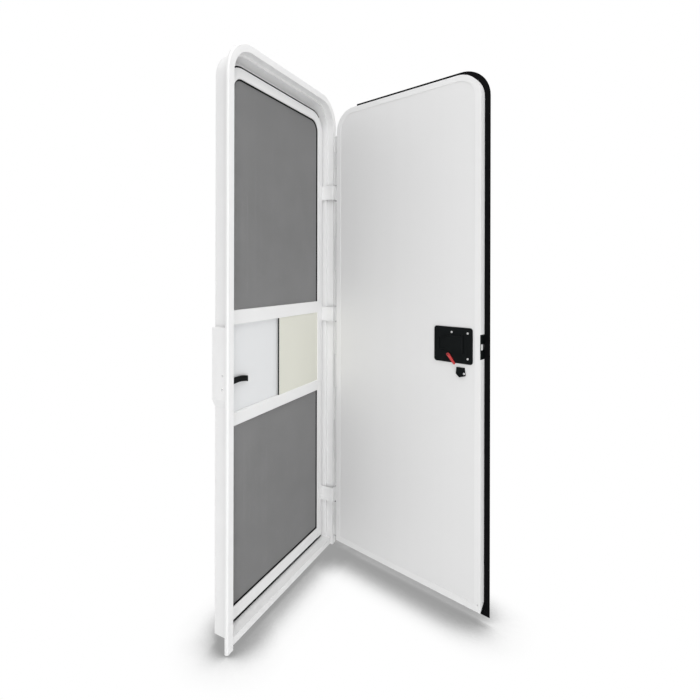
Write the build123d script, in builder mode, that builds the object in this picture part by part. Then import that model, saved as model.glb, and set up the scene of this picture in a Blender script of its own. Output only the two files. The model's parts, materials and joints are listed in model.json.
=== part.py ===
from build123d import *
from math import cos, radians, sin
import os

os.makedirs("parts", exist_ok=True)

# A caravan entry door: a white frame for a wall cut-out, a mesh screen door closed in it and a main
# door standing open. X runs along the wall to the hinge side, Y into the caravan and Z up. The origin
# is on the back of the flange, in the middle of the strip under the cut-out.

# Wall and frame
CUTOUT_WIDTH = 622.0
CUTOUT_HEIGHT = 1750.0
CUTOUT_FIT = 2.0
OVERHANG = 22.0
FLANGE_T = 10.0
FLANGE_EDGE = 4.0
FLANGE_R = 112.0
SIDE_FACE = 26.0
HEAD_FACE = 33.5
SILL_FACE = 27.5
SILL_RISE = 5.0
SILL_T = 2.5
REBATE_DEPTH = 15.5
REBATE_STEP = 8.0
JAMB_DEPTH = 57.5
STOP_WIDTH = 34.0
STOP_T = 2.0
OPENING_R = 78.0
BEND_MARGIN = 2.0

# Main door
OPEN_ANGLE = 77.0
DOOR_GAP = 5.0
DOOR_FOOT_GAP = 11.5
DOOR_HINGE_GAP = 19.0
DOOR_TOP_GAP = 26.0
DOOR_FRONT = -15.5
DOOR_T = 26.0
DOOR_R = 80.0
RIM_WIDTH = 20.0
SKIN_T = 2.0
SKIN_RECESS = 1.0
SKIN_GAP = 0.5
LIP_REACH = 18.0
LIP_BOND = 12.0
LIP_T = 4.0
LIP_BEAD = 1.2
CORNER_BLOCK = 18.0
CORNER_BLOCK_TALL = 26.0

# Main hinge
HINGE_OUT = 9.0
HINGE_STANDOFF = 18.5
KNUCKLE_R = 5.0
PIN_R = 2.5
PIN_CLEARANCE = 0.3
PIN_HEAD_R = 4.5
PIN_HEAD_TALL = 4.0
HINGE_LEAF_T = 2.0
HINGE_FRAME_LEAF = 16.0
HINGE_DOOR_LEAF = 14.0
KNUCKLE_LONG = 180.0
KNUCKLE_GAP = 1.0
HINGE_HEAD_GAP = 4.0

# Lock
LOCK_IN = 92.5
LOCK_HEIGHT = 855.0
LOCK_WIDTH = 133.0
LOCK_TALL = 115.5
LOCK_R = 9.0
LOCK_T = 4.0
LOCK_EDGE = 1.0
DISH_DEPTH = 2.0
DISH_WIDTH = 40.0
DISH_R = 6.0
DISH_MARGIN = 4.0
PADDLE_BACK = 24.0
PADDLE_WIDTH = 60.0
PADDLE_TALL = 50.0
PADDLE_RISE = 4.0
PADDLE_T = 5.0
PADDLE_R = 6.0
PADDLE_PIN_R = 1.3
LUG_TALL = 4.0
LUG_GAP = 0.5
SNIB_BACK = 15.0
SNIB_BELOW = 32.0
SNIB_LENGTH = 36.0
SNIB_WIDTH = 10.0
SNIB_T = 4.0
SNIB_LEAN = 38.0
SNIB_PIN_R = 2.0
FACEPLATE_TALL = 78.0
FACEPLATE_WIDTH = 26.0
FACEPLATE_T = 2.0
BOLT_TALL = 18.0
BOLT_WIDTH = 8.0
BOLT_LENGTH = 16.0
BOLT_OUT = 3.0
BOLT_EDGE = 2.5
BOLT_RISE = 1.0
BOLT_INWARD = 6.0
CATCH_AHEAD = 27.0
CATCH_BELOW = 70.0
CATCH_SIZE = 32.0
CATCH_T = 6.0
CATCH_EDGE = 1.2
HANDLE_STANDOFF = 30.0
HANDLE_BAR = 12.0
KEY_R = 9.0
KEY_PROUD = 3.0
KEY_SLOT = 1.6
KEY_SLOT_DEPTH = 2.0

# Strike box on the latch jamb
STRIKE_OUT = 13.0
STRIKE_WALL = 2.0
STRIKE_BELOW = 165.0
STRIKE_ABOVE = 72.0
STRIKE_TAPER = 24.0
STRIKE_BACK = 60.0
STRIKE_MOUTH = 32.0
STRIKE_ROOM = 3.0

# Screen door
SCREEN_FRONT = 32.0
SCREEN_T = 15.0
SCREEN_GAP = 7.0
SCREEN_TOP_GAP = 27.0
SCREEN_FOOT_GAP = 11.0
SCREEN_R = 76.0
STILE = 34.0
TOP_RAIL = 33.5
BOTTOM_RAIL = 38.5
MESH_R = 43.0
MESH_T = 0.8
MESH_BACK = 7.0
MESH_BAR = 16.0
MESH_ACROSS = 6
MESH_UP = {"upper": 8, "lower": 6}
SPLINE_WIDTH = 4.0
SPLINE_T = 3.0
LOWER_RAIL_FOOT = 618.5
LOWER_RAIL = 40.0
UPPER_RAIL_FOOT = 928.0
UPPER_RAIL = 44.0
RAIL_EDGE = 1.5

# Centre panels of the screen
PANEL_T = 2.0
PANEL_BACK = 3.0
PANEL_SPLIT = -10.0
EDGE_STRIP = 2.5
EDGE_STRIP_LIP = 0.6
HATCH_BACK = 10.0
HATCH_LAP = 14.0
HATCH_GAP = 1.0
GROOVE_DEPTH = 5.5
RUN_CLEARANCE = 0.3

# Screen latch
LATCH_HEIGHT = 751.5
LATCH_TALL = 60.0
LATCH_WIDTH = 28.0
LATCH_WALL = 1.2
LATCH_SLOT_MARGIN = 4.0
LEVER_T = 3.5
LEVER_REACH = 87.0
LEVER_BEND_SHARE = 0.6
LEVER_RISE = 5.5
LEVER_TIP_DROP = 0.5
LEVER_WIDTH = 18.0
LEVER_PIVOT_IN = 14.0
LEVER_PIN_R = 2.2

# Screen hinge straps, cranked round the flange to the pin of the main hinge, at shares of the height
STRAP_T = 2.0
STRAP_TALL = 56.0
STRAP_JAMB_GAP = 4.0
STRAP_FLANGE_GAP = 4.5
STRAP_BEND = 3.0
STRAP_PAD_MARGIN = 1.0
STRAP_ROOM = 5.0
STRAPS = {"lower": 0.105, "middle": 0.52, "upper": 0.798}

# Places that follow from the sizes above
FOOT = -OVERHANG / 2
HEAD = FOOT + CUTOUT_HEIGHT + 2 * OVERHANG
FLANGE_HALF = CUTOUT_WIDTH / 2 + OVERHANG
JAMB_HALF = CUTOUT_WIDTH / 2 - CUTOUT_FIT
JAMB_FOOT = FOOT + OVERHANG + CUTOUT_FIT
JAMB_HEAD = HEAD - OVERHANG - CUTOUT_FIT
REBATE_HALF = FLANGE_HALF - SIDE_FACE
OPENING_HALF = REBATE_HALF - REBATE_STEP
SILL_TOP = FOOT + SILL_FACE
OPENING_HEAD = HEAD - HEAD_FACE

AXIS_X = REBATE_HALF + HINGE_OUT
AXIS_Y = -HINGE_STANDOFF
DOOR_NEAR = AXIS_X - REBATE_HALF + DOOR_HINGE_GAP
DOOR_FAR = AXIS_X + REBATE_HALF - DOOR_GAP
DOOR_FOOT = SILL_TOP + DOOR_FOOT_GAP
DOOR_HEAD = OPENING_HEAD - DOOR_TOP_GAP
DOOR_BACK = DOOR_FRONT + DOOR_T
SKIN_FACE = DOOR_BACK - SKIN_RECESS
LOCK_FACE = SKIN_FACE + LOCK_T
LOCK_ALONG = DOOR_FAR - LOCK_IN
BOLT_HEIGHT = LOCK_HEIGHT + BOLT_RISE
DOOR_MIDDLE = (DOOR_FRONT + DOOR_BACK) / 2
BOLT_DEPTH = DOOR_MIDDLE + BOLT_INWARD
STRIKE_BOTTOM = LOCK_HEIGHT - STRIKE_BELOW
STRIKE_TOP = LOCK_HEIGHT + STRIKE_ABOVE
STRIKE_INSIDE = JAMB_HALF + STRIKE_OUT - STRIKE_WALL

SCREEN_HALF = OPENING_HALF - SCREEN_GAP
SCREEN_BACK = SCREEN_FRONT + SCREEN_T
SCREEN_FOOT = SILL_TOP + SCREEN_FOOT_GAP
SCREEN_HEAD = OPENING_HEAD - SCREEN_TOP_GAP
STILE_EDGE = SCREEN_HALF - STILE
LOWER_MESH_FOOT = SCREEN_FOOT + BOTTOM_RAIL
PANEL_FOOT = LOWER_RAIL_FOOT + LOWER_RAIL
UPPER_MESH_FOOT = UPPER_RAIL_FOOT + UPPER_RAIL
UPPER_MESH_HEAD = SCREEN_HEAD - TOP_RAIL
HATCH_FRONT = SCREEN_FRONT + HATCH_BACK

# The main door is drawn in its own directions: along it from the hinge, up, and inward through it
ALONG = Vector(-cos(radians(OPEN_ANGLE)), -sin(radians(OPEN_ANGLE)), 0)
INWARD = Vector(-sin(radians(OPEN_ANGLE)), cos(radians(OPEN_ANGLE)), 0)
AXIS = Vector(AXIS_X, AXIS_Y, 0)
ALONG_AXIS = Axis(AXIS, ALONG)
INWARD_AXIS = Axis(AXIS, INWARD)


def wall_plane(y):
    """Upright plane across the wall at depth y, facing out, with X to the right and Z up."""
    return Plane(origin=(0, y, 0), x_dir=(1, 0, 0), z_dir=(0, -1, 0))


def door_plane(y):
    """Plane of the main door at the depth y that it has when shut, facing inward, from the hinge axis."""
    return Plane(origin=AXIS + INWARD * (y - AXIS_Y), x_dir=ALONG, z_dir=INWARD)


def door_edge(distance):
    """Plane across the main door at a distance from the hinge axis, facing the latch side."""
    return Plane(origin=AXIS + ALONG * distance, x_dir=INWARD * -1, z_dir=ALONG)


def arched(left, right, foot, head, radius, mode=Mode.ADD):
    """Upright outline with a square foot and two round top corners, drawn in the current sketch."""
    with BuildLine() as outline:
        Line((left, foot), (right, foot))
        Line((right, foot), (right, head - radius))
        CenterArc((right - radius, head - radius), radius, 0, 90)
        Line((right - radius, head), (left + radius, head))
        CenterArc((left + radius, head - radius), radius, 90, 90)
        Line((left, head - radius), (left, foot))
    make_face(outline.edges(), mode=mode)


def block(left, right, low, high, mode=Mode.ADD):
    """Rectangle between two corners, drawn in the current sketch."""
    with Locations(((left + right) / 2, (low + high) / 2)):
        Rectangle(right - left, high - low, mode=mode)


def corner_wedge():
    """Three-sided outline at the foot of the main door, tall outside and running out inside."""
    with BuildLine() as outline:
        Polyline((AXIS_Y - DOOR_BACK, DOOR_FOOT), (AXIS_Y - DOOR_FRONT, DOOR_FOOT),
                 (AXIS_Y - DOOR_FRONT, DOOR_FOOT + CORNER_BLOCK_TALL), close=True)
    make_face(outline.edges())


def openings(low, high, rows):
    """Grid of plain openings in a mesh sheet, cut from the current sketch."""
    wide = (2 * STILE_EDGE - MESH_BAR) / MESH_ACROSS
    tall = (high - low - MESH_BAR) / rows
    with Locations((0, (low + high) / 2)):
        with GridLocations(wide, tall, MESH_ACROSS, rows):
            Rectangle(wide - MESH_BAR, tall - MESH_BAR, mode=Mode.SUBTRACT)


def save(piece, name):
    """Label a finished piece and write its file."""
    piece.part.label = name
    export_step(piece.part, f"parts/{name}.step")


# Frame: two straight jambs and a bent head of one section, with the flange and the rebate
BEND_FOOT = OPENING_HEAD - OPENING_R - BEND_MARGIN
FRAME_LENGTHS = {"frame_head": (-FLANGE_HALF, FLANGE_HALF, BEND_FOOT, HEAD),
                 "frame_hinge_jamb": (0, FLANGE_HALF, FOOT, BEND_FOOT),
                 "frame_latch_jamb": (-FLANGE_HALF, 0, FOOT, BEND_FOOT)}
for length, (left, right, low, high) in FRAME_LENGTHS.items():
    with BuildPart() as frame_length:
        with BuildSketch(wall_plane(0)):
            arched(-FLANGE_HALF, FLANGE_HALF, FOOT, HEAD, FLANGE_R)
            arched(-REBATE_HALF, REBATE_HALF, FOOT, OPENING_HEAD + REBATE_STEP,
                   OPENING_R + REBATE_STEP, Mode.SUBTRACT)
        extrude(amount=FLANGE_T)
        chamfer(frame_length.faces().sort_by(Axis.Y)[0].outer_wire().edges().filter_by(
            lambda edge: edge.center().Z > FOOT + 1 and abs(edge.center().X) > REBATE_HALF + 1
            or edge.center().Z > HEAD - 1), FLANGE_EDGE)
        with BuildSketch(wall_plane(REBATE_DEPTH)):
            arched(-JAMB_HALF, JAMB_HALF, JAMB_FOOT, JAMB_HEAD, OPENING_R + JAMB_HALF - OPENING_HALF)
            arched(-REBATE_HALF, REBATE_HALF, JAMB_FOOT, OPENING_HEAD + REBATE_STEP,
                   OPENING_R + REBATE_STEP, Mode.SUBTRACT)
        extrude(amount=REBATE_DEPTH)
        with BuildSketch(wall_plane(JAMB_DEPTH)):
            arched(-JAMB_HALF, JAMB_HALF, JAMB_FOOT, JAMB_HEAD, OPENING_R + JAMB_HALF - OPENING_HALF)
            arched(-OPENING_HALF, OPENING_HALF, JAMB_FOOT, OPENING_HEAD, OPENING_R, Mode.SUBTRACT)
        extrude(amount=JAMB_DEPTH - REBATE_DEPTH)
        with BuildSketch(Plane.YZ.offset(-STRIKE_INSIDE)):
            with Locations((BOLT_DEPTH, BOLT_HEIGHT)):
                Rectangle(BOLT_WIDTH + 2 * STRIKE_ROOM, STRIKE_MOUTH)
        extrude(amount=STRIKE_INSIDE - OPENING_HALF + 1, mode=Mode.SUBTRACT)
        with BuildSketch(wall_plane(JAMB_DEPTH)):
            block(left, right, low, high)
        extrude(amount=JAMB_DEPTH + FLANGE_T, mode=Mode.INTERSECT)
    save(frame_length, length)

# Frame sill: flange strip and tread between the jambs
with BuildPart() as frame_sill:
    with BuildSketch(Plane.YZ.offset(-REBATE_HALF)):
        block(-SILL_T, 0, FOOT + SILL_RISE, SILL_TOP)
        block(0, REBATE_DEPTH, JAMB_FOOT, SILL_TOP)
    extrude(amount=2 * REBATE_HALF)
    with BuildSketch(Plane.YZ.offset(-OPENING_HALF)):
        block(REBATE_DEPTH, JAMB_DEPTH, JAMB_FOOT, SILL_TOP)
    extrude(amount=2 * OPENING_HALF)
save(frame_sill, "frame_sill")

# Back stop: a flat ring behind the jambs that the screen door shuts towards
with BuildPart() as frame_back_stop:
    with BuildSketch(wall_plane(JAMB_DEPTH + STOP_T)):
        arched(-JAMB_HALF, JAMB_HALF, JAMB_FOOT, JAMB_HEAD, OPENING_R + JAMB_HALF - OPENING_HALF)
        arched(-OPENING_HALF + STOP_WIDTH, OPENING_HALF - STOP_WIDTH, SILL_TOP + STOP_WIDTH,
               OPENING_HEAD - STOP_WIDTH, OPENING_R - STOP_WIDTH, Mode.SUBTRACT)
    extrude(amount=STOP_T)
save(frame_back_stop, "frame_back_stop")

# Strike box: a folded pocket behind the flange that takes the bolt, cut back at its lower end
with BuildPart() as strike_box:
    with BuildSketch(wall_plane(STRIKE_BACK)):
        with BuildLine():
            Polyline((-JAMB_HALF, STRIKE_BOTTOM), (-JAMB_HALF - STRIKE_OUT, STRIKE_BOTTOM + STRIKE_TAPER),
                     (-JAMB_HALF - STRIKE_OUT, STRIKE_TOP), (-JAMB_HALF, STRIKE_TOP), close=True)
        make_face()
    extrude(amount=STRIKE_BACK)
    with BuildSketch(wall_plane(JAMB_DEPTH - STRIKE_WALL)):
        with BuildLine():
            Polyline((-JAMB_HALF, STRIKE_BOTTOM + STRIKE_TAPER),
                     (-STRIKE_INSIDE, STRIKE_BOTTOM + 2 * STRIKE_TAPER),
                     (-STRIKE_INSIDE, STRIKE_TOP - STRIKE_WALL),
                     (-JAMB_HALF, STRIKE_TOP - STRIKE_WALL), close=True)
        make_face()
    extrude(amount=JAMB_DEPTH - STRIKE_WALL, mode=Mode.SUBTRACT)
save(strike_box, "strike_box")

# Main hinge: the frame leaf, four lengths of door leaf and the straps of the screen share one pin.
# Between two straps the knuckles take turns, the first and the last of them on the frame leaf.
HINGE_FOOT = DOOR_FOOT
HINGE_HEAD = DOOR_HEAD - DOOR_R - HINGE_HEAD_GAP
STRAP_FEET = [FOOT + OVERHANG + share * CUTOUT_HEIGHT - STRAP_TALL / 2 for share in STRAPS.values()]
RUN_FEET = [HINGE_FOOT] + [foot + STRAP_TALL + STRAP_ROOM for foot in STRAP_FEET]
RUN_HEADS = [foot - STRAP_ROOM for foot in STRAP_FEET] + [HINGE_HEAD]
HINGE_RUNS = {}
for run, low, high in zip(("bottom", "lower", "upper", "top"), RUN_FEET, RUN_HEADS):
    turns = 2 * max(1, round((high - low) / KNUCKLE_LONG / 2)) + 1
    knuckle = (high - low) / turns
    HINGE_RUNS[run] = (low, high, knuckle - KNUCKLE_GAP, [low + turn * knuckle for turn in range(turns)])

with BuildPart() as main_hinge_frame_leaf:
    with BuildSketch(Plane.XY.offset(HINGE_FOOT)):
        block(FLANGE_HALF - FLANGE_EDGE - HINGE_FRAME_LEAF, FLANGE_HALF - FLANGE_EDGE,
              -FLANGE_T - HINGE_LEAF_T, -FLANGE_T)
    extrude(amount=HINGE_HEAD - HINGE_FOOT)
    for low, high, tall, knuckle_feet in HINGE_RUNS.values():
        for knuckle_foot in knuckle_feet[::2]:
            with BuildSketch(Plane.XY.offset(knuckle_foot)):
                block(AXIS_X - KNUCKLE_R / 2, AXIS_X + KNUCKLE_R / 2, AXIS_Y, -FLANGE_T - HINGE_LEAF_T)
                with Locations((AXIS_X, AXIS_Y)):
                    Circle(KNUCKLE_R)
                    Circle(PIN_R + PIN_CLEARANCE, mode=Mode.SUBTRACT)
            extrude(amount=tall)
save(main_hinge_frame_leaf, "main_hinge_frame_leaf")

with BuildPart() as main_hinge_pin:
    with BuildSketch(Plane.XY.offset(HINGE_FOOT - PIN_HEAD_TALL / 2)):
        with Locations((AXIS_X, AXIS_Y)):
            Circle(PIN_R)
    extrude(amount=HINGE_HEAD - HINGE_FOOT + PIN_HEAD_TALL / 2)
    with BuildSketch(Plane.XY.offset(HINGE_FOOT - PIN_HEAD_TALL)):
        with Locations((AXIS_X, AXIS_Y)):
            Circle(PIN_HEAD_R)
    extrude(amount=PIN_HEAD_TALL)
save(main_hinge_pin, "main_hinge_pin")

for run, (low, high, tall, knuckle_feet) in HINGE_RUNS.items():
    with BuildPart() as door_leaf:
        with BuildSketch(door_plane(DOOR_FRONT - HINGE_LEAF_T)):
            block(KNUCKLE_R + KNUCKLE_GAP, DOOR_NEAR + HINGE_DOOR_LEAF, low, high)
            for knuckle_foot in knuckle_feet[1::2]:
                block(KNUCKLE_R - 1, KNUCKLE_R + KNUCKLE_GAP + 1, knuckle_foot, knuckle_foot + tall)
        extrude(amount=HINGE_LEAF_T)
        for size, mode in ((KNUCKLE_R, Mode.ADD), (PIN_R + PIN_CLEARANCE, Mode.SUBTRACT)):
            for knuckle_foot in knuckle_feet[1::2]:
                with BuildSketch(Plane.XY.offset(knuckle_foot)):
                    with Locations((AXIS_X, AXIS_Y)):
                        Circle(size)
                extrude(amount=tall, mode=mode)
    save(door_leaf, f"main_hinge_{run}_door_leaf")

# Rim of the main door: an extrusion bent round the top corners, cut for the lock and the corner block
with BuildPart() as door_rim:
    with BuildSketch(door_plane(DOOR_FRONT)):
        arched(DOOR_NEAR, DOOR_FAR, DOOR_FOOT, DOOR_HEAD, DOOR_R)
        arched(DOOR_NEAR + RIM_WIDTH, DOOR_FAR - RIM_WIDTH, DOOR_FOOT + RIM_WIDTH,
               DOOR_HEAD - RIM_WIDTH, DOOR_R - RIM_WIDTH, Mode.SUBTRACT)
    extrude(amount=DOOR_T)
    with BuildSketch(door_edge(DOOR_FAR - FACEPLATE_T)):
        with Locations((AXIS_Y - DOOR_MIDDLE, BOLT_HEIGHT)):
            Rectangle(FACEPLATE_WIDTH, FACEPLATE_TALL)
    extrude(amount=FACEPLATE_T + 1, mode=Mode.SUBTRACT)
    with BuildSketch(door_edge(DOOR_FAR - BOLT_LENGTH - 2)):
        with Locations((AXIS_Y - BOLT_DEPTH, BOLT_HEIGHT)):
            Rectangle(BOLT_WIDTH + 2 * RUN_CLEARANCE, BOLT_TALL + 2 * RUN_CLEARANCE)
    extrude(amount=BOLT_LENGTH + 3, mode=Mode.SUBTRACT)
    with BuildSketch(door_edge(DOOR_FAR - CORNER_BLOCK)):
        corner_wedge()
    extrude(amount=CORNER_BLOCK, mode=Mode.SUBTRACT)
save(door_rim, "door_rim")

with BuildPart() as door_corner_block:
    with BuildSketch(door_edge(DOOR_FAR - CORNER_BLOCK)):
        corner_wedge()
    extrude(amount=CORNER_BLOCK)
save(door_corner_block, "door_corner_block")

# Sandwich of the main door: foam core with an inner and an outer skin
with BuildPart() as door_core:
    with BuildSketch(door_plane(DOOR_FRONT)):
        arched(DOOR_NEAR + RIM_WIDTH, DOOR_FAR - RIM_WIDTH, DOOR_FOOT + RIM_WIDTH,
               DOOR_HEAD - RIM_WIDTH, DOOR_R - RIM_WIDTH)
    extrude(amount=SKIN_FACE - SKIN_T - DOOR_FRONT)
save(door_core, "door_core")

with BuildPart() as door_inner_skin:
    with BuildSketch(door_plane(SKIN_FACE - SKIN_T)):
        arched(DOOR_NEAR + RIM_WIDTH, DOOR_FAR - RIM_WIDTH, DOOR_FOOT + RIM_WIDTH,
               DOOR_HEAD - RIM_WIDTH, DOOR_R - RIM_WIDTH)
    extrude(amount=SKIN_T)
save(door_inner_skin, "door_inner_skin")

SKIN_NEAR = DOOR_NEAR + HINGE_DOOR_LEAF + SKIN_GAP
with BuildPart() as door_outer_skin:
    with BuildSketch(door_plane(DOOR_FRONT - SKIN_T)):
        arched(SKIN_NEAR, DOOR_FAR - LIP_BOND, DOOR_FOOT + LIP_BOND, DOOR_HEAD - LIP_BOND, DOOR_R - LIP_BOND)
    extrude(amount=SKIN_T)
save(door_outer_skin, "door_outer_skin")

# Black edge lip: runs round the outside of the door from the bend on the hinge side to the foot
with BuildPart() as door_edge_lip:
    with BuildSketch(door_plane(DOOR_FRONT - LIP_T)):
        arched(DOOR_NEAR - LIP_REACH, DOOR_FAR + LIP_REACH, DOOR_FOOT - LIP_REACH,
               DOOR_HEAD + LIP_REACH, DOOR_R + LIP_REACH)
        arched(SKIN_NEAR, DOOR_FAR - LIP_BOND, DOOR_FOOT + LIP_BOND, DOOR_HEAD - LIP_BOND,
               DOOR_R - LIP_BOND, Mode.SUBTRACT)
        block(-LIP_REACH, SKIN_NEAR, DOOR_FOOT - 2 * LIP_REACH, HINGE_HEAD, Mode.SUBTRACT)
        block(-LIP_REACH, DOOR_NEAR + DOOR_R, HINGE_HEAD, DOOR_HEAD + 2 * LIP_REACH, Mode.SUBTRACT)
    extrude(amount=LIP_T)
    chamfer(door_edge_lip.faces().filter_by(INWARD_AXIS).sort_by(INWARD_AXIS)[0].edges(), LIP_BEAD)
save(door_edge_lip, "door_edge_lip")

# Lock: dished plate inside, paddle, snib, edge faceplate, bolt, and the catch for the screen
PADDLE_NEAR = LOCK_ALONG - PADDLE_BACK
PADDLE_AXIS = PADDLE_NEAR + PADDLE_WIDTH - PADDLE_T / 2
PADDLE_FOOT = LOCK_HEIGHT + PADDLE_RISE - PADDLE_TALL / 2
SNIB_ALONG = LOCK_ALONG - SNIB_BACK
SNIB_HEIGHT = LOCK_HEIGHT - SNIB_BELOW
PADDLE_MID = LOCK_FACE + PADDLE_T / 2 + LUG_GAP
with BuildPart() as lock_plate:
    with BuildSketch(door_plane(SKIN_FACE)):
        with Locations((LOCK_ALONG, LOCK_HEIGHT)):
            RectangleRounded(LOCK_WIDTH, LOCK_TALL, LOCK_R)
    extrude(amount=LOCK_T)
    chamfer(lock_plate.faces().filter_by(INWARD_AXIS).sort_by(INWARD_AXIS)[-1].edges(), LOCK_EDGE)
    with BuildSketch(door_plane(LOCK_FACE - DISH_DEPTH)):
        with Locations((PADDLE_NEAR - DISH_MARGIN, PADDLE_FOOT + PADDLE_TALL / 2)):
            RectangleRounded(DISH_WIDTH, PADDLE_TALL - 2 * DISH_MARGIN, DISH_R)
    extrude(amount=2 * DISH_DEPTH, mode=Mode.SUBTRACT)
    for low in (PADDLE_FOOT - LUG_TALL - LUG_GAP, PADDLE_FOOT + PADDLE_TALL + LUG_GAP):
        with BuildSketch(door_plane(LOCK_FACE - LUG_GAP)):
            block(PADDLE_AXIS - PADDLE_T / 2, PADDLE_AXIS + PADDLE_T / 2, low, low + LUG_TALL)
        extrude(amount=PADDLE_T + 2 * LUG_GAP)
    with BuildSketch(Plane.XY.offset(PADDLE_FOOT - LUG_TALL / 2)):
        with Locations(door_plane(PADDLE_MID).from_local_coords((PADDLE_AXIS, 0, 0))):
            Circle(PADDLE_PIN_R)
    extrude(amount=PADDLE_TALL + LUG_TALL)
    with BuildSketch(door_plane(LOCK_FACE - LUG_GAP)):
        with Locations((SNIB_ALONG, SNIB_HEIGHT)):
            Circle(SNIB_PIN_R)
    extrude(amount=SNIB_T + 2 * LUG_GAP)
save(lock_plate, "lock_plate")

with BuildPart() as lock_paddle:
    with BuildSketch(door_plane(PADDLE_MID - PADDLE_T / 2)):
        block(PADDLE_NEAR, PADDLE_AXIS, PADDLE_FOOT, PADDLE_FOOT + PADDLE_TALL)
    extrude(amount=PADDLE_T)
    with BuildSketch(Plane.XY.offset(PADDLE_FOOT)):
        with Locations(door_plane(PADDLE_MID).from_local_coords((PADDLE_AXIS, 0, 0))):
            Circle(PADDLE_T / 2)
    extrude(amount=PADDLE_TALL)
    with BuildSketch(Plane.XY.offset(PADDLE_FOOT)):
        with Locations(door_plane(PADDLE_MID).from_local_coords((PADDLE_AXIS, 0, 0))):
            Circle(PADDLE_PIN_R + PIN_CLEARANCE)
    extrude(amount=PADDLE_TALL, mode=Mode.SUBTRACT)
    fillet(lock_paddle.edges().filter_by(INWARD_AXIS).sort_by(ALONG_AXIS)[:2], PADDLE_R)
save(lock_paddle, "lock_paddle")

SNIB_TURN = radians(SNIB_LEAN)
SNIB_PLANE = Plane(
    origin=door_plane(LOCK_FACE + RUN_CLEARANCE).from_local_coords((SNIB_ALONG, SNIB_HEIGHT, 0)),
    x_dir=ALONG * sin(SNIB_TURN) - Vector(0, 0, cos(SNIB_TURN)), z_dir=INWARD)
with BuildPart() as lock_snib:
    with BuildSketch(SNIB_PLANE):
        with BuildLine():
            CenterArc((0, 0), SNIB_WIDTH / 2, 90, 180)
            Line((0, -SNIB_WIDTH / 2), (SNIB_LENGTH, -SNIB_WIDTH * 0.3))
            ThreePointArc((SNIB_LENGTH, -SNIB_WIDTH * 0.3), (SNIB_LENGTH + SNIB_WIDTH * 0.2, 0),
                          (SNIB_LENGTH, SNIB_WIDTH * 0.3))
            Line((SNIB_LENGTH, SNIB_WIDTH * 0.3), (0, SNIB_WIDTH / 2))
        make_face()
        Circle(SNIB_PIN_R + RUN_CLEARANCE, mode=Mode.SUBTRACT)
    extrude(amount=SNIB_T)
save(lock_snib, "lock_snib")

with BuildPart() as lock_faceplate:
    with BuildSketch(door_edge(DOOR_FAR - FACEPLATE_T)):
        with Locations((AXIS_Y - DOOR_MIDDLE, BOLT_HEIGHT)):
            Rectangle(FACEPLATE_WIDTH, FACEPLATE_TALL)
        with Locations((AXIS_Y - BOLT_DEPTH, BOLT_HEIGHT)):
            Rectangle(BOLT_WIDTH + 2 * RUN_CLEARANCE, BOLT_TALL + 2 * RUN_CLEARANCE, mode=Mode.SUBTRACT)
    extrude(amount=FACEPLATE_T)
save(lock_faceplate, "lock_faceplate")

with BuildPart() as latch_bolt:
    with BuildSketch(door_edge(DOOR_FAR + BOLT_OUT - BOLT_LENGTH)):
        with Locations((AXIS_Y - BOLT_DEPTH, BOLT_HEIGHT)):
            Rectangle(BOLT_WIDTH, BOLT_TALL)
    extrude(amount=BOLT_LENGTH)
    chamfer(latch_bolt.faces().sort_by(ALONG_AXIS)[-1].edges().sort_by(INWARD_AXIS)[-1], BOLT_EDGE)
save(latch_bolt, "latch_bolt")

with BuildPart() as screen_catch:
    with BuildSketch(door_plane(SKIN_FACE)):
        near = LOCK_ALONG + CATCH_AHEAD - CATCH_SIZE / 2
        top = LOCK_HEIGHT - CATCH_BELOW
        with BuildLine():
            Polyline((near + 2, top), (near + CATCH_SIZE - 3, top),
                     (near + CATCH_SIZE, top - CATCH_SIZE * 0.8),
                     (near + CATCH_SIZE * 0.36, top - CATCH_SIZE),
                     (near, top - CATCH_SIZE * 0.66), close=True)
        make_face()
    extrude(amount=CATCH_T)
    chamfer(screen_catch.faces().filter_by(INWARD_AXIS).sort_by(INWARD_AXIS)[-1].edges(), CATCH_EDGE)
save(screen_catch, "screen_catch")

# Outside of the lock: a plain plate with a pull bar, and a round key cylinder
OUT_FACE = DOOR_FRONT - SKIN_T
with BuildPart() as outside_handle:
    with BuildSketch(door_plane(OUT_FACE)):
        with Locations((LOCK_ALONG, LOCK_HEIGHT)):
            RectangleRounded(LOCK_WIDTH, LOCK_TALL, LOCK_R)
        with Locations((LOCK_ALONG + LOCK_WIDTH / 4, LOCK_HEIGHT)):
            Circle(KEY_R, mode=Mode.SUBTRACT)
    extrude(amount=-LOCK_T)
    with BuildSketch(door_plane(OUT_FACE - LOCK_T)):
        with Locations((LOCK_ALONG - LOCK_WIDTH / 4, LOCK_HEIGHT)):
            with GridLocations(0, LOCK_TALL - 3 * HANDLE_BAR, 1, 2):
                Rectangle(HANDLE_BAR, HANDLE_BAR)
    extrude(amount=-(HANDLE_STANDOFF - HANDLE_BAR))
    with BuildSketch(door_plane(OUT_FACE - LOCK_T - HANDLE_STANDOFF + HANDLE_BAR)):
        with Locations((LOCK_ALONG - LOCK_WIDTH / 4, LOCK_HEIGHT)):
            RectangleRounded(HANDLE_BAR, LOCK_TALL - HANDLE_BAR, HANDLE_BAR * 0.4)
    extrude(amount=-HANDLE_BAR)
save(outside_handle, "outside_handle")

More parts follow.
